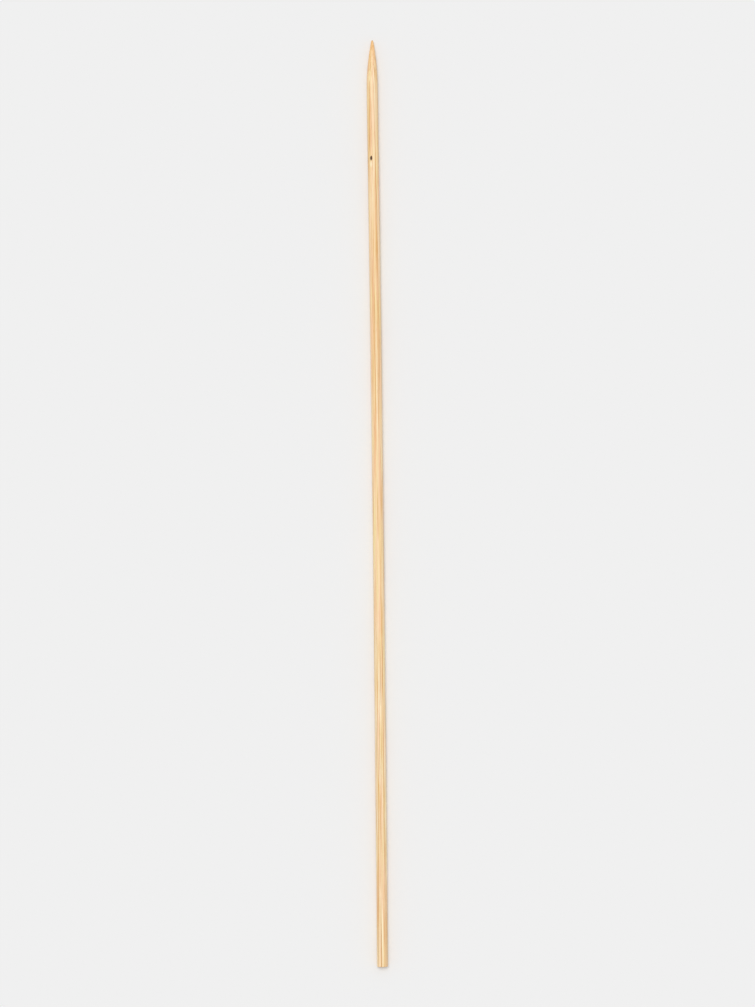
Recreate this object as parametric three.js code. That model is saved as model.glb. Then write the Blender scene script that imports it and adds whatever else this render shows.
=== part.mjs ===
// A round bamboo skewer: one stick, split and drawn to a rod, cut square at the butt and
// sharpened at the other end.
//
// Millimetres, +Z up. The stick lies along +Y. The origin is the centre of the butt face,
// and the sharpened point is at the far end, towards +Y.

import * as THREE from "three";

// Driving dimensions
const OVERALL_LENGTH = 250; // from the butt face to the tip of the point
const SHAFT_DIAMETER = 3;
const POINT_LENGTH = 13; // from the shoulder, where the taper starts, to the tip
const NOSE_RADIUS = 0.3; // the tip is blunt, so that it lifts off no splinter
const BUTT_EDGE_RADIUS = 0.12; // the sawn corner is rubbed a little round

// How finely the round forms are faceted
const SIDES = 48;
const POINT_STEPS = 20;
const NOSE_STEPS = 5;
const BUTT_EDGE_STEPS = 3;

const BAMBOO_COLOUR = 0xf0cea0;
const BAMBOO_ROUGHNESS = 0.6;

const shaftRadius = SHAFT_DIAMETER / 2;
const shoulderAt = OVERALL_LENGTH - POINT_LENGTH;
const noseCentreAt = OVERALL_LENGTH - NOSE_RADIUS;

// Points along a round stretch of the outline, from one angle to another. In the outline,
// x is the distance from the axis and y the distance from the butt face.
function roundStretch(centreX, centreY, radius, fromAngle, toAngle, steps) {
  const curve = new THREE.EllipseCurve(centreX, centreY, radius, radius, fromAngle, toAngle);
  return curve.getPoints(steps);
}

// The corner between the butt face and the side of the shaft.
function buttEdge() {
  const centreX = shaftRadius - BUTT_EDGE_RADIUS;
  return roundStretch(
    centreX, BUTT_EDGE_RADIUS, BUTT_EDGE_RADIUS, -Math.PI / 2, 0, BUTT_EDGE_STEPS,
  );
}

// The point is an ogive. Its side is one large arc that leaves the shaft smoothly at the
// shoulder and runs smoothly into the small ball of the nose. The large arc's centre lies
// level with the shoulder, on the far side of the axis. Its radius follows from the right
// triangle between that centre, the nose's centre and the foot on the axis.
function point() {
  const taperLength = noseCentreAt - shoulderAt;
  const narrowing = shaftRadius - NOSE_RADIUS;
  const sideRadius = (taperLength ** 2 / narrowing + shaftRadius + NOSE_RADIUS) / 2;
  const sideCentreX = shaftRadius - sideRadius;
  const turn = Math.atan2(taperLength, -sideCentreX);
  const side = roundStretch(sideCentreX, shoulderAt, sideRadius, 0, turn, POINT_STEPS);
  const nose = roundStretch(0, noseCentreAt, NOSE_RADIUS, turn, Math.PI / 2, NOSE_STEPS);
  return [...side, ...nose.slice(1, -1)];
}

// The outline runs from the middle of the butt face, along the stick, to the tip.
function skewerOutline() {
  return [
    new THREE.Vector2(0, 0),
    ...buttEdge(),
    ...point(),
    new THREE.Vector2(0, OVERALL_LENGTH),
  ];
}

function makeSkewer() {
  const bamboo = new THREE.MeshStandardMaterial({
    color: BAMBOO_COLOUR,
    roughness: BAMBOO_ROUGHNESS,
    metalness: 0,
  });
  const skewer = new THREE.Mesh(new THREE.LatheGeometry(skewerOutline(), SIDES), bamboo);
  skewer.name = "skewer";
  return skewer;
}

const part = new THREE.Group();
part.add(makeSkewer());

export default part;
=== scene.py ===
"""The looks of a round bamboo skewer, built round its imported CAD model.

The CAD node is a plain rod with a sharpened end. The piece made here stands for it. It is the
same rod with the fibre bundles of the culm running through it, which show as long streaks on
its side, as drawn-out points where the taper cuts them and as dots on the sawn end, and with
the marks that the die, the cutter and the saw leave.

Sizes are written in millimetres, as a maker gives them, and turned to metres where a mesh, a
shader or a lamp takes them.
"""

import logging
import math
from dataclasses import dataclass, field
from enum import Enum
from typing import Any

import bpy
import numpy as np
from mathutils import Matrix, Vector


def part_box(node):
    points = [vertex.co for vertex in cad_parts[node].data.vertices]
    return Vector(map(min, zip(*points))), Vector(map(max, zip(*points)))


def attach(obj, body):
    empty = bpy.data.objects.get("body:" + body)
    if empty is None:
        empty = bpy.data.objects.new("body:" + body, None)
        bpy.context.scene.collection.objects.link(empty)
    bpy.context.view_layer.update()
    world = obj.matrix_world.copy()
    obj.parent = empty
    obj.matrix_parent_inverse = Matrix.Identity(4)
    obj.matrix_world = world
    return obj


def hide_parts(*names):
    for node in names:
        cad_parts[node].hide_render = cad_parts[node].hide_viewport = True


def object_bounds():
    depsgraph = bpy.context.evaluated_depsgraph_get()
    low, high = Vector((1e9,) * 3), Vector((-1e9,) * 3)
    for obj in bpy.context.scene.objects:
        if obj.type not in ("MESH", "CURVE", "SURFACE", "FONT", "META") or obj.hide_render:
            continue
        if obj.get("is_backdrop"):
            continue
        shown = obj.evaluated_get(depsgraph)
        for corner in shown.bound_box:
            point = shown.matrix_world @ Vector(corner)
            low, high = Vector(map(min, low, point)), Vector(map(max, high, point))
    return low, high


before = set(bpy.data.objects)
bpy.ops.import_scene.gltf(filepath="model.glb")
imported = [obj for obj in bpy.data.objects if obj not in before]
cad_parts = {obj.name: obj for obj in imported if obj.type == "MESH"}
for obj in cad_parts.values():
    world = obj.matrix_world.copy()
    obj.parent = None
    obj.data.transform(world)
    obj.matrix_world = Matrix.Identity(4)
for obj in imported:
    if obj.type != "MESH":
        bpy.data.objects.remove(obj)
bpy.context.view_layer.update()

MM = 0.001  # metres in a millimetre
TURN = 2 * math.pi
UNDERSIDE = -0.25  # of a turn, from +X towards +Z
TINY = 1e-6  # keeps a width that is divided by from being nothing

MATH = "ShaderNodeMath"
MAP_RANGE = "ShaderNodeMapRange"
MIX = "ShaderNodeMix"

# The numbers of the colour Mix node's sockets, whose names it also gives to its other kinds
MIX_SHARE, MIX_FIRST, MIX_SECOND, MIX_COLOUR = 0, 6, 7, 2

log = logging.getLogger("skewer")


class Reading(Enum):
    """What the rod's mesh carries at each vertex for its material, by attribute name."""

    BUNDLE = "bundle"  # 1 in the middle of a fibre bundle, 0 at its edge, down to -1 outside
    TONE = "tone"  # how dark that bundle is, from 0 to 1
    CROSSING = "crossing"  # 0 where the surface runs along the grain, 1 where it is cut across
    TEAR = "tear"  # 1 on the floor of a torn groove, 0 at its edge
    SPECK = "speck"  # 1 in the middle of the dark speck, 0 at its edge, down to -1 outside
    PAINTED_HIGHLIGHT = "painted_highlight"  # the same for the pale patch beside the speck, which is a painted highlight


class Grain(Enum):
    """What the eye sees in bamboo's grain, by its width and length in millimetres."""

    BAND = (1.1, 90.0)  # broad tints, from one side of a strip to the other
    BLUSH = (0.75, 20.0)  # patches of one tint
    STRAW = (0.6, 14.0)  # and of another
    STREAK = (0.3, 26.0)  # several fibres together
    STRAND = (0.07, 9.0)  # single fibres, drawn as coarse as they show
    DASH = (0.06, 2.4)  # sap vessels cut open by the die
    FLECK = (0.2, 0.45)  # what makes the speck and the dots in the sawn end ragged


def linear(hex_colour: str) -> tuple[float, float, float, float]:
    """Turns an sRGB colour into the linear one that shaders take, by the standard's formula.

    Args:
        hex_colour: the colour as written in a picture, such as "#F0CEA0".

    Returns:
        Red, green, blue and an alpha of 1.
    """
    shares = [int(hex_colour[i : i + 2], 16) / 255 for i in (1, 3, 5)]
    red, green, blue = (
        share / 12.92 if share <= 0.04045 else ((share + 0.055) / 1.055) ** 2.4
        for share in shares
    )
    return red, green, blue, 1.0


def eased(share: np.ndarray) -> np.ndarray:
    """Eases a share: held within 0 and 1, then three times its square less twice its cube."""
    held = np.clip(share, 0.0, 1.0)
    return held * held * (3.0 - 2.0 * held)


def add_node(
    tree: bpy.types.NodeTree, kind: str, inputs: dict[Any, Any], **settings: Any
) -> bpy.types.Node:
    """Adds a node with its settings and links.

    Args:
        tree: the node tree that it goes into.
        kind: Blender's name for the type of node.
        inputs: for an input, by name or number, its constant or the output it is linked to.
        settings: the node's own settings.

    Returns:
        The node.
    """
    node = tree.nodes.new(kind)
    for name, value in settings.items():
        setattr(node, name, value)
    for key, value in inputs.items():
        if isinstance(value, bpy.types.NodeSocket):
            tree.links.new(value, node.inputs[key])
        else:
            node.inputs[key].default_value = value
    return node


@dataclass(frozen=True)
class Fade:
    """A straight line by which a Map Range node turns one number into another."""

    low: float  # what the node reads at one end of the line
    high: float  # and at the other
    least: float = 0.0  # what it gives at low, and below it
    most: float = 1.0  # what it gives at high, and above it

    def over(
        self, source: bpy.types.NodeSocket, **linked: bpy.types.NodeSocket
    ) -> dict[str, Any]:
        """The node's inputs.

        Args:
            source: the number that it reads.
            linked: what takes the place of least or most, where a number isn't enough.

        Returns:
            The inputs by name.
        """
        return {
            "Value": source,
            "From Min": self.low,
            "From Max": self.high,
            "To Min": linked.get("least", self.least),
            "To Max": linked.get("most", self.most),
        }


@dataclass
class Surface:
    """Every vertex of the rod before its relief: where it is and which way it faces."""

    around: np.ndarray  # angle round the axis, from +X towards +Z
    away: np.ndarray  # distance from the axis
    along: np.ndarray  # distance from the butt face
    facing: np.ndarray  # angle of the outward normal, from straight out towards the tip

    def across(self) -> np.ndarray:
        """The vertices' places in the cross-section, as rows of x and z."""
        return self.away[:, None] * np.stack([np.cos(self.around), np.sin(self.around)], 1)

    def noise(
        self, cells: int, cell_length: float, rng: np.random.Generator
    ) -> np.ndarray:
        """Smooth random numbers that run along the rod and close round it.

        A lattice of cells is laid round and along the rod, with a random number from 0 to 1
        at each of its corners. A vertex takes the mean of its cell's four corners, each
        weighted by how near it lies both ways, with the nearness eased.

        Args:
            cells: how many cells go round the rod.
            cell_length: how long a cell is along the rod.
            rng: where the random numbers come from.

        Returns:
            One number for each vertex.
        """
        column = self.around / TURN * cells
        row = self.along / cell_length
        left = np.floor(column).astype(int)
        low = np.floor(row).astype(int)
        corners = rng.uniform(0.0, 1.0, (low.max() + 2, cells))
        aside = eased(column - left)
        ahead = eased(row - low)
        near = (1 - aside) * corners[low, left % cells] + aside * corners[low, (left + 1) % cells]
        far = (1 - aside) * corners[low + 1, left % cells]
        far = far + aside * corners[low + 1, (left + 1) % cells]
        return (1 - ahead) * near + ahead * far


@dataclass
class Rings:
    """The rings of vertices, with the middle of the butt before them and the tip after."""

    away: np.ndarray  # distance from the axis
    along: np.ndarray  # distance from the butt face
    facing: np.ndarray  # angle of the outward normal, from straight out towards the tip

    def run(self) -> np.ndarray:
        """How far each is from the middle of the butt, measured over the surface."""
        steps = np.hypot(np.diff(self.away), np.diff(self.along))
        return np.concatenate([[0.0], np.cumsum(steps)])

    def surface(self, sides: int) -> Surface:
        """Turns the rings about the axis, each from the underside round.

        Args:
            sides: how many vertices go round.

        Returns:
            The middle of the butt, then each ring in turn, then the tip.
        """
        angles = (np.arange(sides) / sides + UNDERSIDE) * TURN

        def spread(values: np.ndarray) -> np.ndarray:
            """One value for each vertex, from one for each ring and pole."""
            return np.concatenate([values[:1], np.repeat(values[1:-1], sides), values[-1:]])

        around = np.concatenate([[0.0], np.tile(angles, len(self.away) - 2), [0.0]])
        return Surface(around, spread(self.away), spread(self.along), spread(self.facing))


@dataclass(frozen=True)
class Sheet:
    """The rod's surface laid flat on a square picture, onto which its material can be baked.

    The side is slit along the underside and cut across into strips, which stand side by side,
    so that a square picture suits a rod 80 times as long as it is thick. The butt is a disc
    over the first strip, which is shorter for it.
    """

    run: np.ndarray  # how far along the outline the butt's middle, each ring and the tip are
    first: int  # the first of these on the rod's side
    sides: int
    name: str = "OFBake"  # the map's name
    strips: int = 3
    disc: float = 0.19  # width of the square that the butt takes, where the picture's is 1
    gap: float = 0.006  # round each piece

    def cuts(self) -> tuple[np.ndarray, np.ndarray]:
        """Where the side is cut across.

        Returns:
            The numbers of the rings at the strips' ends, and the strips' heights.
        """
        heights = np.ones(self.strips)
        heights[0] -= self.disc
        shares = np.concatenate([[0.0], np.cumsum(heights)]) / heights.sum()
        side = self.run[self.first :]
        wanted = side[0] + shares * (side[-1] - side[0])
        return self.first + np.abs(side[:, None] - wanted).argmin(0), heights

    def places(self, corners: np.ndarray) -> np.ndarray:
        """Lays faces on the sheet.

        On a strip a corner goes across by its share of the turn and up by its share of the
        strip's length. On the disc it goes out from the middle as far as on the rod.

        Args:
            corners: for each face, rows of its corners' rings and columns.

        Returns:
            For each face, rows of its corners' places on the sheet.
        """
        stop = corners[..., 0].astype(int) + 1
        turn = corners[..., 1] / self.sides
        lowest = stop.min(1, keepdims=True)
        cuts, heights = self.cuts()
        strip = np.clip(np.searchsorted(cuts, lowest, side="right") - 1, 0, self.strips - 1)
        start = self.run[cuts[strip]]
        share = (self.run[stop] - start) / (self.run[cuts[strip + 1]] - start)
        margin = self.gap * self.strips
        across = (strip + margin + turn * (1 - 2 * margin)) / self.strips
        up = self.gap + share * (heights[strip] - 2 * self.gap)

        out = (self.disc / 2 - self.gap) * self.run[stop] / self.run[self.first]
        disc_across = self.disc / 2 + out * np.cos(TURN * turn)
        disc_up = 1 - self.disc / 2 + out * np.sin(TURN * turn)
        on_disc = lowest < self.first
        return np.stack(
            [np.where(on_disc, disc_across, across), np.where(on_disc, disc_up, up)], -1
        )


@dataclass(frozen=True)
class CloseWork:
    """A stretch of the rod whose rings of vertices are close together."""

    place: float  # its middle, as a distance from the butt face
    reach: float  # how far it goes on either side
    spacing: float
    growth: float  # how much the spacing grows for each millimetre past it

    def spacing_at(self, along: np.ndarray) -> np.ndarray:
        """The spacing that it asks for at distances from the butt face."""
        past = np.clip(np.abs(along - self.place) - self.reach, 0.0, None)
        return self.spacing + self.growth * past


@dataclass
class Outline:
    """Half of the rod's section along its axis, from the middle of the butt to the tip."""

    length: float
    diameter: float
    point_length: float = 13.0  # from the shoulder, where the taper starts, to the tip
    nose_radius: float = 0.3  # the tip is blunt
    butt_edge_radius: float = 0.12  # the sawn corner is rubbed a little round
    fineness: int = 2000  # points traced on each stretch before the vertices are chosen
    ring_spacing: float = 0.9  # of the plain shaft

    def traced(self) -> tuple[np.ndarray, np.ndarray, np.ndarray]:
        """Traces the outline finely.

        It is five stretches that run smoothly into each other: the flat face, the rounded
        corner, the straight shaft, one large arc for the side of the point, and the ball of
        the nose. The large arc's centre is level with the shoulder, so that it leaves the
        shaft smoothly. Its radius follows from the right triangle between that centre, the
        nose's centre and the axis.

        Returns:
            Distance from the axis, distance from the butt face and the normal's angle.
        """
        radius = self.diameter / 2
        shoulder = self.length - self.point_length
        nose_at = self.length - self.nose_radius
        taper = nose_at - shoulder
        side = (taper**2 / (radius - self.nose_radius) + radius + self.nose_radius) / 2
        turn = math.atan2(taper, side - radius)
        corner = self.butt_edge_radius

        share = np.linspace(0.0, 1.0, self.fineness)
        corner_angle = (share - 1.0) * math.pi / 2
        side_angle = share * turn
        nose_angle = turn + share * (math.pi / 2 - turn)
        flat = np.zeros_like(share)
        stretches = (
            (share * (radius - corner), flat, flat - math.pi / 2),
            (
                radius - corner + corner * np.cos(corner_angle),
                corner + corner * np.sin(corner_angle),
                corner_angle,
            ),
            (flat + radius, corner + share * (shoulder - corner), flat),
            (
                radius - side + side * np.cos(side_angle),
                shoulder + side * np.sin(side_angle),
                side_angle,
            ),
            (
                self.nose_radius * np.cos(nose_angle),
                nose_at + self.nose_radius * np.sin(nose_angle),
                nose_angle,
            ),
        )
        away, along, facing = (
            np.concatenate([column[0][:1], *(part[1:] for part in column)])
            for column in zip(*stretches)
        )
        return away, along, facing

    def rings(self, close_work: tuple[CloseWork, ...]) -> Rings:
        """Chooses the rings of vertices along the outline.

        Each small step of the traced outline counts for its length over the spacing wanted
        there, and a ring stands wherever the running count passes a whole number.

        Args:
            close_work: the stretches whose rings are closer than the shaft's.

        Returns:
            The rings.
        """
        away, along, facing = self.traced()
        wanted = np.full_like(along, self.ring_spacing)
        for stretch in close_work:
            wanted = np.minimum(wanted, stretch.spacing_at(along))
        count = np.cumsum(np.hypot(np.diff(away), np.diff(along)) / wanted[1:])
        count = np.concatenate([[0.0], count])
        marks = np.linspace(0.0, count[-1], math.ceil(count[-1]) + 1)
        return Rings(*(np.interp(marks, count, column) for column in (away, along, facing)))


@dataclass
class Culm:
    """The strip of culm wall that the rod is drawn from, with the bundles that run along it.

    The bundles stand in rows across the wall. They are slimmer and closer together towards
    the culm's skin.
    """

    reach: float  # how far from the axis the strip has bundles
    skin_direction: float = math.radians(55.0)  # round the rod's axis, from +X towards +Z
    spacing: float = 0.47  # between bundles, in the middle of the wall
    crowding: float = 0.32  # by what share the spacing is less on the skin side
    scatter: float = 0.2  # how far a bundle stands off its row's even step, in spacings
    girth: float = 0.34  # a bundle's radius, as a share of the spacing
    girths: tuple[float, float] = (0.75, 1.2)  # the slimmest and the stoutest, as shares of that
    tones: tuple[float, float] = (0.3, 1.0)  # how dark the palest and the darkest are
    sway: float = 0.42  # how far the grain wanders off the rod's axis
    sway_lengths: tuple[float, float] = (410.0, 150.0)
    sway_phase: float = 2.0  # of the sway along z, where the sway along x has none
    waver: float = 0.05  # how far each bundle wanders off the others
    waver_phase: float = 1.0
    seed: int = 11

    def rows(self) -> list[tuple[float, float]]:
        """Sets out the rows in the wall.

        A row follows the one before at the height of a triangle whose sides are the spacing.

        Returns:
            Each row's depth in the wall, skin side positive, and the spacing there.
        """
        found = []
        depth = -self.reach
        while depth < self.reach:
            spacing = self.spacing * (1 - self.crowding * depth / self.reach)
            found.append((depth, spacing))
            depth += spacing * math.sqrt(3) / 2
        return found

    def bundles(self) -> tuple[np.ndarray, np.ndarray, np.ndarray, np.ndarray]:
        """Sets out the bundles across the strip.

        Returns:
            Rows of x and z for the middles, the radii, how dark each one is from 0 to 1, and
            where each is in its wander, from 0 to a full turn.
        """
        rng = np.random.default_rng(self.seed)
        places = []
        for depth, spacing in self.rows():
            count = int(2 * self.reach / spacing)
            beside = -self.reach + spacing * (np.arange(count) + rng.uniform(0, 1))
            placed = np.stack([np.full(count, depth), beside, np.full(count, spacing)], 1)
            placed[:, :2] += spacing * rng.uniform(-self.scatter, self.scatter, (count, 2))
            places.append(placed)
        depth, beside, spacing = np.concatenate(places).T
        cosine, sine = math.cos(self.skin_direction), math.sin(self.skin_direction)
        middles = np.stack([depth * cosine - beside * sine, depth * sine + beside * cosine], 1)
        radii = self.girth * spacing * rng.uniform(*self.girths, len(spacing))
        tones = rng.uniform(*self.tones, len(spacing))
        return middles, radii, tones, rng.uniform(0, TURN, len(spacing))

    def wander(self, along: np.ndarray, start: np.ndarray | float = 0.0) -> np.ndarray:
        """How far the grain is off its line: two sines, the shorter a third as strong.

        Args:
            along: distances from the butt face.
            start: where each sine starts, as an angle.

        Returns:
            From -1 to 1, one for each distance.
        """
        long, short = self.sway_lengths
        wave = np.sin(TURN * along / long + start) + np.sin(TURN * along / short + 2 * start) / 3
        return wave * 3 / 4

    def depths(self, across: np.ndarray, along: np.ndarray) -> tuple[np.ndarray, np.ndarray]:
        """How deep in a bundle each point lies, and how dark that bundle is.

        The depth in one bundle is one less the distance from its middle over its radius. A
        point takes the bundle that it lies deepest in, or that it is nearest to. The depth
        changes evenly from point to point, so the material can draw sharp edges from it.

        Args:
            across: rows of x and z.
            along: distances from the butt face.

        Returns:
            The depths, from -1 to 1, and the bundles' tones, from 0 to 1.
        """
        middles, radii, tones, starts = self.bundles()
        own_x = self.waver * self.wander(along, starts[:, None])
        own_z = self.waver * self.wander(along, starts[:, None] + self.waver_phase)
        sway_x = self.sway * self.wander(along)
        sway_z = self.sway * self.wander(along, self.sway_phase)
        off_x = across[:, 0] - middles[:, :1] - own_x - sway_x
        off_z = across[:, 1] - middles[:, 1:] - own_z - sway_z
        depths = 1.0 - np.hypot(off_x, off_z) / radii[:, None]
        return np.clip(depths.max(0), -1.0, 1.0), tones[depths.argmax(0)]


@dataclass(frozen=True)
class Mark:
    """A small oval mark on the side of the rod, seen from above."""

    along: float
    across: float  # off the axis, towards +X
    length: float
    width: float

    def depths(self, surface: Surface) -> np.ndarray:
        """How deep in the mark each vertex lies.

        It is one less the distance from the mark's middle, counted in half lengths and half
        widths. The rod's lower half has none of it.

        Args:
            surface: the rod's vertices.

        Returns:
            From -1 to 1, one for each vertex.
        """
        across = surface.across()
        off_along = (surface.along - self.along) / (self.length / 2)
        off_across = (across[:, 0] - self.across) / (self.width / 2)
        depths = np.clip(1.0 - np.hypot(off_along, off_across), -1.0, 1.0)
        return np.where(across[:, 1] > 0, depths, -1.0)


@dataclass(frozen=True)
class DrawnBamboo:
    """Bamboo drawn through a die: bare, dry and smooth, with no varnish.

    The die leaves a soft sheen that lies along the grain. The fibre bundles are hard, tan and
    a little glossier. The soft tissue between them is pale and dull. Cut across, the grain
    takes in light and looks darker and warmer, and each bundle shows its open sap vessel.
    """

    tissue: str = "#FFF0CD"
    fibre: str = "#DB9E54"
    honey: str = "#F8C076"  # what broad bands of the tissue and the end of the point lean to
    blush: str = "#FFCCA8"  # what shorter patches lean to
    straw: str = "#F7E3A2"  # and others
    cut_tissue: str = "#EFC992"
    cut_fibre: str = "#8F6034"
    vessel: str = "#6B4724"
    tear: str = "#C3945A"
    speck: str = "#46240B"
    # a painted highlight: the pale patch just beside the speck
    painted_highlight: str = "#FFF1CE"
    ior: float = 1.53  # cellulose
    tissue_roughness: float = 0.62
    fibre_roughness: float = 0.48
    cut_roughness: float = 0.8
    relief: float = 0.012  # height of the strands, in millimetres
    noise_detail: float = 2.0

    # How far noise moves the edges of the bundles, of their dots in the sawn end, of the
    # speck and of the painted highlight beside it, on the scale on which the mesh's
    # readings fall from 1 to 0
    bundle_fray: float = 1.2
    dot_fray: float = 0.5
    painted_highlight_fray: float = 1.6
    speck_fray: float = 0.8

    # How dark a bundle is, over its tone
    shaft_tones: Fade = Fade(0.0, 1.0, 0.15, 0.9)
    point_tones: Fade = Fade(0.0, 1.0, 0.1, 0.6)
    dot_tones: Fade = Fade(0.0, 1.0, 0.5, 0.95)

    # How much there is of each, over the noise or the reading that it follows
    bundle_fade: Fade = Fade(0.0, 0.6)
    streak_fade: Fade = Fade(0.36, 0.64, -0.2, 0.38)
    strand_fade: Fade = Fade(0.34, 0.66, -0.2, 0.24)
    dash_fade: Fade = Fade(0.64, 0.7, most=0.45)
    dot_fade: Fade = Fade(0.0, 0.25)
    honey_fade: Fade = Fade(0.4, 0.65, most=0.5)
    blush_fade: Fade = Fade(0.42, 0.62, most=0.58)
    straw_fade: Fade = Fade(0.44, 0.64, most=0.65)
    tear_fade: Fade = Fade(0.1, 0.6, most=0.8)
    vessel_fade: Fade = Fade(0.62, 0.8)
    side_vessel_fade: Fade = Fade(0.5, 0.6, most=0.4)
    painted_highlight_fade: Fade = Fade(0.85, 1.6, most=0.9)
    speck_fade: Fade = Fade(0.45, 0.85)

    # The same over the crossing, which is 0 on the shaft and 0.2 along most of the point
    point_fade: Fade = Fade(0.02, 0.12)
    scorch_fade: Fade = Fade(0.07, 0.17, most=0.7)
    cut_fade: Fade = Fade(0.15, 0.6)
    hole_fade: Fade = Fade(0.3, 0.8)

    def along_grain(
        self, tree: bpy.types.NodeTree, place: bpy.types.NodeSocket, grain: Grain
    ) -> bpy.types.NodeSocket:
        """Noise drawn out along the rod.

        Args:
            tree: the material's node tree.
            place: the object's own coordinates.
            grain: what it draws.

        Returns:
            A number about 0.5, from 0 to 1.
        """
        wide, long = (1 / (part * MM) for part in grain.value)
        drawn_out = add_node(
            tree, "ShaderNodeMapping", {"Vector": place, "Scale": (wide, long, wide)}
        )
        noise = add_node(
            tree,
            "ShaderNodeTexNoise",
            {"Vector": drawn_out.outputs[0], "Scale": 1.0, "Detail": self.noise_detail},
        )
        return noise.outputs["Fac"]

    def fibre_share(
        self,
        tree: bpy.types.NodeTree,
        read: dict[Reading, bpy.types.NodeSocket],
        grain: dict[Grain, bpy.types.NodeSocket],
    ) -> bpy.types.NodeSocket:
        """How much of the fibre's colour the side shows.

        It is the sum of the bundles, the streaks and strands, which add and take away about
        as much, and the opened vessels. A bundle is as dark as its tone and fainter on the
        point, and the noise of the strands frays its edges.

        Args:
            tree: the material's node tree.
            read: what the mesh carries.
            grain: the noises of the grain.

        Returns:
            A number from 0 to 1.
        """
        moved = add_node(
            tree,
            MATH,
            {0: grain[Grain.STRAND], 1: self.bundle_fray, 2: -self.bundle_fray / 2},
            operation="MULTIPLY_ADD",
        )
        frayed = add_node(
            tree, MATH, {0: read[Reading.BUNDLE], 1: moved.outputs[0]}, operation="ADD"
        )
        on_shaft, on_point = (
            add_node(tree, MAP_RANGE, tones.over(read[Reading.TONE])).outputs[0]
            for tones in (self.shaft_tones, self.point_tones)
        )
        darkest = add_node(
            tree,
            MAP_RANGE,
            self.point_fade.over(read[Reading.CROSSING], least=on_shaft, most=on_point),
        )
        total, *others = (
            add_node(tree, MAP_RANGE, inputs).outputs[0]
            for inputs in (
                self.bundle_fade.over(frayed.outputs[0], most=darkest.outputs[0]),
                self.streak_fade.over(grain[Grain.STREAK]),
                self.strand_fade.over(grain[Grain.STRAND]),
                self.dash_fade.over(grain[Grain.DASH]),
            )
        )
        for share in others:
            total = add_node(
                tree, MATH, {0: total, 1: share}, operation="ADD", use_clamp=True
            ).outputs[0]
        return total

    def cut_colour(
        self,
        tree: bpy.types.NodeTree,
        read: dict[Reading, bpy.types.NodeSocket],
        grain: dict[Grain, bpy.types.NodeSocket],
    ) -> bpy.types.NodeSocket:
        """The colour of the grain cut across: pale tissue with dark dots, ragged at the edge.

        Args:
            tree: the material's node tree.
            read: what the mesh carries.
            grain: the noises of the grain.

        Returns:
            The colour.
        """
        moved = add_node(
            tree,
            MATH,
            {0: grain[Grain.FLECK], 1: self.dot_fray, 2: -self.dot_fray / 2},
            operation="MULTIPLY_ADD",
        )
        ragged = add_node(
            tree, MATH, {0: read[Reading.BUNDLE], 1: moved.outputs[0]}, operation="ADD"
        )
        darkest = add_node(tree, MAP_RANGE, self.dot_tones.over(read[Reading.TONE]))
        share = add_node(
            tree, MAP_RANGE, self.dot_fade.over(ragged.outputs[0], most=darkest.outputs[0])
        )
        colours = {
            MIX_SHARE: share.outputs[0],
            MIX_FIRST: linear(self.cut_tissue),
            MIX_SECOND: linear(self.cut_fibre),
        }
        return add_node(tree, MIX, colours, data_type="RGBA").outputs[MIX_COLOUR]

    def colour(
        self,
        tree: bpy.types.NodeTree,
        read: dict[Reading, bpy.types.NodeSocket],
        grain: dict[Grain, bpy.types.NodeSocket],
        fibre_share: bpy.types.NodeSocket,
    ) -> bpy.types.NodeSocket:
        """Lays the colours over each other.

        Under the fibre's colour lie the tints of the tissue: bands of honey, patches of blush
        and of straw, and honey again at the end of the point, which the grinder heats. Over
        it lie the colours of the cut, the torn grooves, the opened vessels, a painted highlight
        as a pale patch beside the speck, and the speck.

        Args:
            tree: the material's node tree.
            read: what the mesh carries.
            grain: the noises of the grain.
            fibre_share: how much of the fibre's colour there is.

        Returns:
            The colour.
        """
        crossing = read[Reading.CROSSING]

        # A vessel shows as a faint dash on the side and as a dark hole in the sawn end
        dashed = add_node(tree, MAP_RANGE, self.side_vessel_fade.over(grain[Grain.DASH]))
        opened = add_node(tree, MAP_RANGE, self.hole_fade.over(crossing, least=dashed.outputs[0]))

        # The depths of the painted highlight beside the speck and of the speck, with their edges
        # moved in and out by noise
        painted_highlight_depth, speck_depth = (
            add_node(tree, MATH, {0: noise, 1: fray, 2: depth}, operation="MULTIPLY_ADD").outputs[0]
            for noise, fray, depth in (
                (grain[Grain.STRAND], self.painted_highlight_fray, read[Reading.PAINTED_HIGHLIGHT]),
                (grain[Grain.FLECK], self.speck_fray, read[Reading.SPECK]),
            )
        )

        tints = (
            (self.honey_fade.over(grain[Grain.BAND]), linear(self.honey)),
            (self.blush_fade.over(grain[Grain.BLUSH]), linear(self.blush)),
            (self.straw_fade.over(grain[Grain.STRAW]), linear(self.straw)),
            (self.scorch_fade.over(crossing), linear(self.honey)),
        )
        details = (
            (self.cut_fade.over(crossing), self.cut_colour(tree, read, grain)),
            (self.tear_fade.over(read[Reading.TEAR]), linear(self.tear)),
            (
                self.vessel_fade.over(read[Reading.BUNDLE], most=opened.outputs[0]),
                linear(self.vessel),
            ),
            # the pale patch beside the speck, which is a painted highlight
            (self.painted_highlight_fade.over(painted_highlight_depth), linear(self.painted_highlight)),
            (self.speck_fade.over(speck_depth), linear(self.speck)),
        )
        under, over = (
            [(add_node(tree, MAP_RANGE, inputs).outputs[0], paint) for inputs, paint in layers]
            for layers in (tints, details)
        )
        colour = linear(self.tissue)
        for share, paint in (*under, (fibre_share, linear(self.fibre)), *over):
            mixed = add_node(
                tree,
                MIX,
                {MIX_SHARE: share, MIX_FIRST: colour, MIX_SECOND: paint},
                data_type="RGBA",
            )
            colour = mixed.outputs[MIX_COLOUR]
        return colour

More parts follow.
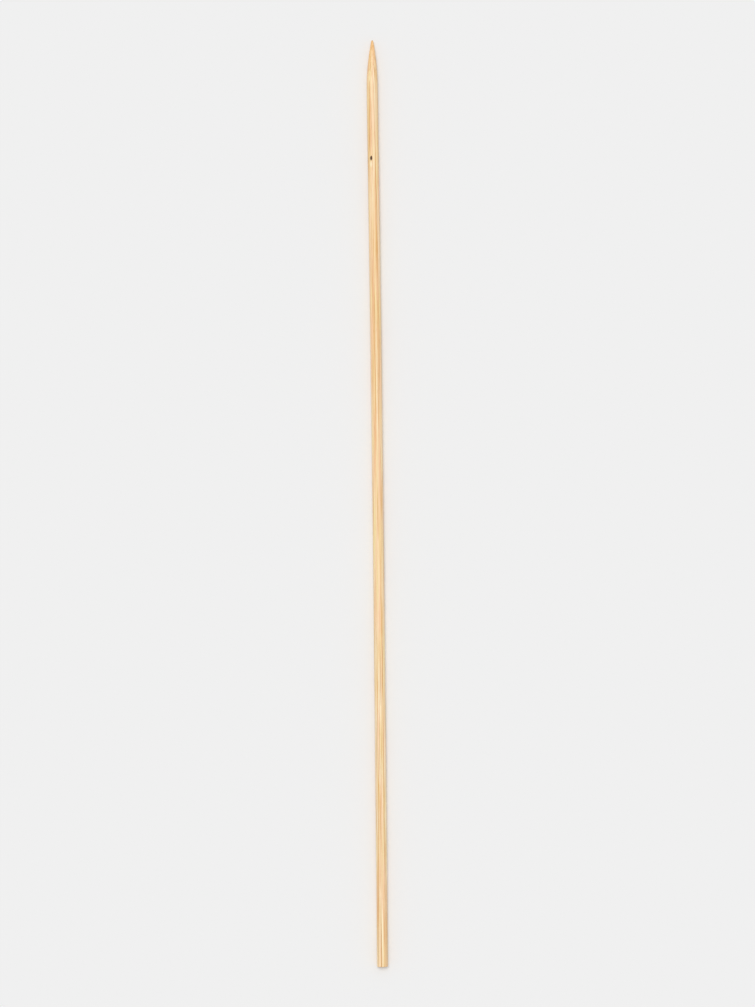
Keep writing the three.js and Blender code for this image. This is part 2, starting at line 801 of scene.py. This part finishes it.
    def material(self) -> bpy.types.Material:
        """Makes the material.

        The colour comes in layers. The sheen is softer on the tissue than on the fibres, and
        softest where the grain is cut across. The strands stand up in fine relief.

        Returns:
            The material.
        """
        made = bpy.data.materials.new("drawn bamboo")
        made.use_nodes = True
        tree = made.node_tree
        tree.nodes.clear()
        place = add_node(tree, "ShaderNodeTexCoord", {}).outputs["Object"]
        read = {
            reading: add_node(
                tree, "ShaderNodeAttribute", {}, attribute_name=reading.value
            ).outputs["Fac"]
            for reading in Reading
        }
        grain = {kind: self.along_grain(tree, place, kind) for kind in Grain}
        fibre_share = self.fibre_share(tree, read, grain)

        on_side = add_node(
            tree,
            MAP_RANGE,
            Fade(0.0, 1.0, self.tissue_roughness, self.fibre_roughness).over(fibre_share),
        )
        roughness = add_node(
            tree,
            MAP_RANGE,
            Fade(0.0, 1.0, most=self.cut_roughness).over(
                read[Reading.CROSSING], least=on_side.outputs[0]
            ),
        )
        bump = add_node(
            tree,
            "ShaderNodeBump",
            {"Height": grain[Grain.STRAND], "Distance": self.relief * MM, "Strength": 1.0},
        )
        shader = add_node(
            tree,
            "ShaderNodeBsdfPrincipled",
            {
                "Base Color": self.colour(tree, read, grain, fibre_share),
                "Roughness": roughness.outputs[0],
                "IOR": self.ior,
                "Normal": bump.outputs[0],
            },
        )
        add_node(tree, "ShaderNodeOutputMaterial", {"Surface": shader.outputs[0]})
        return made


@dataclass
class Skewer:
    """The skewer: one stick, drawn round, sharpened at one end and sawn off at the other."""

    outline: Outline
    sides: int = 192  # vertices round it
    bow: float = 0.25  # how far the middle of the rod lies off the line between its ends
    tip_offset: float = 0.18  # how far the cutter left the tip off the rod's axis
    out_of_round: float = 0.03
    oval_twist: float = 90.0  # the length in which the oval turns by half a radian
    tissue_sink: float = 0.014  # the soft tissue lies this much lower than the fibre bundles
    strand_depth: float = 0.008
    strands_round: int = 64
    strand_length: float = 14.0
    culm_margin: float = 0.8  # of bundles round the rod, which the grain's sway brings in
    rim: float = 0.5  # how far into a bundle or the speck its edge slopes, as a share of the way
    speck: Mark = Mark(along=218.1, across=-0.6, length=1.6, width=0.8)
    # where a highlight is painted, as a pale patch beside the speck
    painted_highlight: Mark = Mark(along=216.5, across=-0.64, length=2.1, width=0.75)
    speck_depth: float = 0.07

    tears: int = 26
    tear_depth: float = 0.03
    tear_lengths: tuple[float, float] = (5.0, 24.0)
    tear_widths: tuple[float, float] = (0.07, 0.15)
    tear_margins: tuple[float, float] = (4.0, 8.0)  # no tear's middle is nearer butt or tip
    side_from: float = 0.9  # the cosine of the normal's angle, above which the die reached

    saw_depth: float = 0.02
    saw_pitch: float = 0.17
    saw_way: tuple[float, float] = (0.94, 0.34)  # across the saw marks, as x and z
    face_from: float = 0.8  # the sine of the normal's angle backwards, where the face starts
    chip_depth: float = 0.05  # out of the sawn corner
    chip_reach: float = 0.35  # along the side, and over the face beyond where they start
    chip_start: float = 1.1  # from the axis
    chips_round: int = 26
    chip_length: float = 0.6
    chip_contrast: float = 2.4  # what the chips' noise is multiplied by
    chip_rarity: float = 1.3  # and what is then taken off, so that few are left
    seed: int = 5
    finish: DrawnBamboo = field(default_factory=DrawnBamboo)

    def torn(self, surface: Surface, rng: np.random.Generator) -> np.ndarray:
        """Grooves where the die tore a strand out of the side.

        Each is a spindle: full on its middle line, and nothing at a half width that narrows
        to both ends as one less the square of the share of its half length.

        Args:
            surface: the rod's vertices.
            rng: where their places and sizes come from.

        Returns:
            From 0 to 1, one for each vertex.
        """
        starts = rng.uniform(0.0, TURN, (self.tears, 1))
        from_butt, from_tip = self.tear_margins
        middles = rng.uniform(from_butt, self.outline.length - from_tip, (self.tears, 1))
        half_lengths = rng.uniform(*self.tear_lengths, (self.tears, 1)) / 2
        half_widths = rng.uniform(*self.tear_widths, (self.tears, 1))
        beside = (surface.around - starts + math.pi) % TURN - math.pi
        beside = np.abs(beside) * surface.away
        ahead = np.abs(surface.along - middles) / half_lengths
        width = half_widths * np.clip(1.0 - ahead**2, TINY, None)
        depths = np.clip(1.0 - beside / width, 0.0, 1.0) * (ahead < 1.0)
        return depths.max(0) * (np.cos(surface.facing) > self.side_from)

    def readings(self, surface: Surface) -> dict[Reading, np.ndarray]:
        """What the material reads at each vertex.

        Args:
            surface: the rod's vertices.

        Returns:
            For each reading, one number for each vertex.
        """
        culm = Culm(reach=self.outline.diameter / 2 + self.culm_margin)
        depths, tones = culm.depths(surface.across(), surface.along)
        return {
            Reading.BUNDLE: depths,
            Reading.TONE: tones,
            Reading.CROSSING: np.abs(np.sin(surface.facing)),
            Reading.TEAR: self.torn(surface, np.random.default_rng(self.seed)),
            Reading.SPECK: self.speck.depths(surface),
            # the painted highlight beside the speck
            Reading.PAINTED_HIGHLIGHT: self.painted_highlight.depths(surface),
        }

    def relief(self, surface: Surface, readings: dict[Reading, np.ndarray]) -> np.ndarray:
        """How far each vertex lies under the plain rod's surface, as a negative height.

        It is the sum of: an oval section that turns slowly along the rod, the soft tissue
        sunk between the bundles, fine strands, torn grooves, the speck's pit, saw marks
        across the butt and chips out of its corner.

        Args:
            surface: the rod's vertices.
            readings: what the material reads there.

        Returns:
            One height for each vertex, never above 0.
        """
        rng = np.random.default_rng(self.seed + 1)
        oval = (1 + np.cos(2 * surface.around + surface.along / self.oval_twist)) / 2
        strands = surface.noise(self.strands_round, self.strand_length, rng)
        on_face = eased((-np.sin(surface.facing) - self.face_from) / (1 - self.face_from))
        strokes = surface.across() @ np.array(self.saw_way) / self.saw_pitch
        sawn = (1 + np.sin(TURN * strokes)) / 2
        near_butt = eased(1 - surface.along / self.chip_reach)
        at_corner = near_butt * eased((surface.away - self.chip_start) / self.chip_reach)
        chips = surface.noise(self.chips_round, self.chip_length, rng)
        chips = eased(chips * self.chip_contrast - self.chip_rarity)
        return -(
            self.out_of_round * oval * (1 - on_face)
            + self.tissue_sink * (1 - eased(readings[Reading.BUNDLE] / self.rim))
            + self.strand_depth * strands * (1 - on_face)
            + self.tear_depth * eased(readings[Reading.TEAR])
            + self.speck_depth * eased(readings[Reading.SPECK] / self.rim)
            + self.saw_depth * sawn * on_face
            + self.chip_depth * chips * at_corner
        )

    def places(self, surface: Surface, relief: np.ndarray) -> np.ndarray:
        """Where each vertex goes.

        It moves along its normal by the relief. The rod then bows sideways, by four times the
        bow times the shares of the length on either side, which is a parabola through both
        ends. The point leans off its axis, eased from the shoulder to the tip. The bow lies
        flat, because that is how a bent rod comes to rest.

        Args:
            surface: the rod's vertices.
            relief: how high each lies over the plain rod's surface.

        Returns:
            Rows of x, y and z in metres.
        """
        away = surface.away + relief * np.cos(surface.facing)
        along = surface.along + relief * np.sin(surface.facing)
        share = surface.along / self.outline.length
        shoulder = self.outline.length - self.outline.point_length
        leaning = eased((surface.along - shoulder) / self.outline.point_length)
        sideways = self.bow * 4 * share * (1 - share) + self.tip_offset * leaning
        return MM * np.stack(
            [away * np.cos(surface.around) + sideways, along, away * np.sin(surface.around)], 1
        )

    def faces(self, rings: int) -> tuple[np.ndarray, np.ndarray, np.ndarray]:
        """Joins the vertices: a fan at the butt, a band between each two rings, a fan at the tip.

        Args:
            rings: how many rings there are between the two poles.

        Returns:
            For each of the three, its faces as rows of their corners' rings and columns, in
            the order that makes a face point outwards. A pole counts as the ring before the
            first or after the last, and the last column meets the first.
        """

        def stacked(*corners: tuple[np.ndarray | int, np.ndarray | int]) -> np.ndarray:
            """Faces from their corners, each the rings and the columns of all the faces."""
            return np.stack([np.stack(np.broadcast_arrays(*corner), -1) for corner in corners], 1)

        here = np.arange(self.sides, dtype=float)  # a pole's corners lie between two columns
        grids = np.meshgrid(np.arange(rings - 1), here, indexing="ij")
        low, left = (grid.ravel() for grid in grids)
        return (
            stacked((-1, here + 0.5), (0, here), (0, here + 1)),
            stacked((low, left), (low + 1, left), (low + 1, left + 1), (low, left + 1)),
            stacked((rings, here + 0.5), (rings - 1, here + 1), (rings - 1, here)),
        )

    def numbers(self, corners: np.ndarray, rings: int) -> np.ndarray:
        """The vertices' numbers at faces' corners.

        Args:
            corners: for each face, rows of its corners' rings and columns.
            rings: how many rings there are.

        Returns:
            One number for each corner.
        """
        ring, column = corners[..., 0], corners[..., 1]
        on_ring = 1 + self.sides * ring + column % self.sides
        tip = 1 + self.sides * rings
        return np.where(ring < 0, 0, np.where(ring == rings, tip, on_ring)).astype(int)

    def build(self) -> bpy.types.Object:
        """Makes the skewer's mesh, with what its material reads, and dresses it.

        Returns:
            The finished piece, riding on the root body in place of the CAD node.
        """
        close_work = (
            CloseWork(place=0.0, reach=0.3, spacing=0.045, growth=0.15),
            CloseWork(place=self.speck.along, reach=self.speck.length, spacing=0.07, growth=0.15),
            CloseWork(place=self.outline.length, reach=0.3, spacing=0.045, growth=0.03),
        )
        rings = self.outline.rings(close_work)
        surface = rings.surface(self.sides)
        readings = self.readings(surface)
        places = self.places(surface, self.relief(surface, readings))
        count = len(rings.away) - 2
        kinds = self.faces(count)
        faces = [face for corners in kinds for face in self.numbers(corners, count).tolist()]
        mesh = bpy.data.meshes.new("bamboo_skewer")
        mesh.from_pydata(places, [], faces)
        mesh.polygons.foreach_set("use_smooth", np.ones(len(mesh.polygons), bool))

        # The side starts at the first ring that faces more outwards than backwards
        first = int(np.argmax(rings.facing > -math.pi / 4))
        sheet = Sheet(rings.run(), first, self.sides)
        laid = np.concatenate([sheet.places(corners).reshape(-1, 2) for corners in kinds])
        mesh.uv_layers.new(name=sheet.name).uv.foreach_set("vector", laid.ravel())
        for reading, values in readings.items():
            layer = mesh.attributes.new(reading.value, "FLOAT", "POINT")
            layer.data.foreach_set("value", values.astype(np.float32))
        mesh.materials.append(self.finish.material())
        mesh.update()
        piece = bpy.data.objects.new("bamboo_skewer", mesh)
        bpy.context.scene.collection.objects.link(piece)
        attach(piece, "root")
        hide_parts("skewer")
        return piece


@dataclass
class Studio:
    """A pale table top, soft light from above and a camera that looks straight down."""

    subject_share: float = 0.92  # how much of the picture's height the skewer takes
    lens: float = 165.0  # long, because the photograph shows almost no perspective
    sensor: float = 36.0  # along the picture's longer side
    lean: float = math.radians(0.68)  # how far the skewer's tip leans to the left
    paper: str = "#F0F0F0"
    paper_width: float = 3.0  # metres
    sky_level: float = 0.57  # what the surroundings give a level white surface, of 1 in all
    key_from: tuple[float, float, float] = (-0.08, 0.24, 0.97)  # the way to the lamp
    key_softness: float = math.radians(30.0)

    def lay_paper(self, height: float) -> bpy.types.Object:
        """Lays matt pale paper under the skewer.

        Args:
            height: how high the paper lies, in metres.

        Returns:
            The floor.
        """
        half = self.paper_width / 2
        mesh = bpy.data.meshes.new("floor")
        corners = [
            (x, y, height) for x, y in ((-half, -half), (half, -half), (half, half), (-half, half))
        ]
        mesh.from_pydata(corners, [], [(0, 1, 2, 3)])
        matt = bpy.data.materials.new("matt paper")
        matt.use_nodes = True
        matt.node_tree.nodes.clear()
        shader = add_node(
            matt.node_tree, "ShaderNodeBsdfDiffuse", {"Color": linear(self.paper)}
        )
        add_node(matt.node_tree, "ShaderNodeOutputMaterial", {"Surface": shader.outputs[0]})
        mesh.materials.append(matt)
        floor = bpy.data.objects.new("floor", mesh)
        bpy.context.scene.collection.objects.link(floor)
        floor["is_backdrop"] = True
        return floor

    def light(self) -> None:
        """Lights the table so that a level white surface comes to 1 in all.

        The surroundings give their share evenly from all sides, and one soft lamp from the
        upper left gives the rest. A lamp of strength pi lights a white surface that faces it
        to 1.
        """
        world = bpy.data.worlds.new("studio")
        world.use_nodes = True
        tree = world.node_tree
        tree.nodes.clear()

        # Seen straight or in a reflection, the surroundings have the paper's colour
        path = add_node(tree, "ShaderNodeLightPath", {})
        seen = path.outputs["Is Camera Ray"]
        for name in ("Is Glossy Ray", "Is Transmission Ray"):
            seen = add_node(
                tree, MATH, {0: seen, 1: path.outputs[name]}, operation="MAXIMUM"
            ).outputs[0]
        surroundings = add_node(
            tree, "ShaderNodeBackground", {"Color": linear("#FFFFFF"), "Strength": self.sky_level}
        )
        backdrop = add_node(
            tree, "ShaderNodeBackground", {"Color": linear(self.paper), "Strength": 1.0}
        )
        either = add_node(
            tree, "ShaderNodeMixShader", {0: seen, 1: surroundings.outputs[0], 2: backdrop.outputs[0]}
        )
        add_node(tree, "ShaderNodeOutputWorld", {"Surface": either.outputs[0]})
        bpy.context.scene.world = world

        source = Vector(self.key_from).normalized()
        lamp = bpy.data.lights.new("key", "SUN")
        lamp.energy = math.pi * (1 - self.sky_level) / source.z
        lamp.angle = self.key_softness
        key = bpy.data.objects.new("key", lamp)
        key.rotation_euler = source.to_track_quat("Z", "Y").to_euler()
        bpy.context.scene.collection.objects.link(key)

    def place_camera(self, middle: Vector, length: float) -> None:
        """Stands the camera over the skewer at the distance where it takes its share.

        The sensor's width lies along the picture's longer side, so the camera stands as many
        times further off than it sees of the table as the lens is longer than the sensor.

        Args:
            middle: what it looks at, in metres.
            length: the skewer's length in metres.
        """
        eye = bpy.data.cameras.new("camera")
        eye.lens = self.lens
        eye.sensor_width = self.sensor
        camera = bpy.data.objects.new("camera", eye)
        distance = length / self.subject_share * self.lens / self.sensor
        camera.location = middle + Vector((0.0, 0.0, distance))
        camera.rotation_euler = (0.0, 0.0, -self.lean)
        bpy.context.scene.collection.objects.link(camera)
        bpy.context.scene.camera = camera


def main() -> None:
    """Builds the skewer from the frame's sizes, then the studio round it."""
    bpy.context.scene.view_settings.view_transform = "Standard"
    low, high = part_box("skewer")
    outline = Outline(length=(high.y - low.y) / MM, diameter=(high.x - low.x) / MM)
    piece = Skewer(outline).build()
    triangles = sum(len(face.vertices) - 2 for face in piece.data.polygons)
    log.info("%s: %d triangles", piece.name, triangles)

    lowest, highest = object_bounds()
    studio = Studio()
    studio.lay_paper(lowest.z)
    studio.light()
    middle = (lowest + highest) / 2
    studio.place_camera(middle, highest.y - lowest.y)
    log.info("studio: floor at %.2f mm", lowest.z / MM)


if __name__ == "__main__":
    logging.basicConfig(level=logging.INFO, format="%(name)s: %(message)s")
    main()
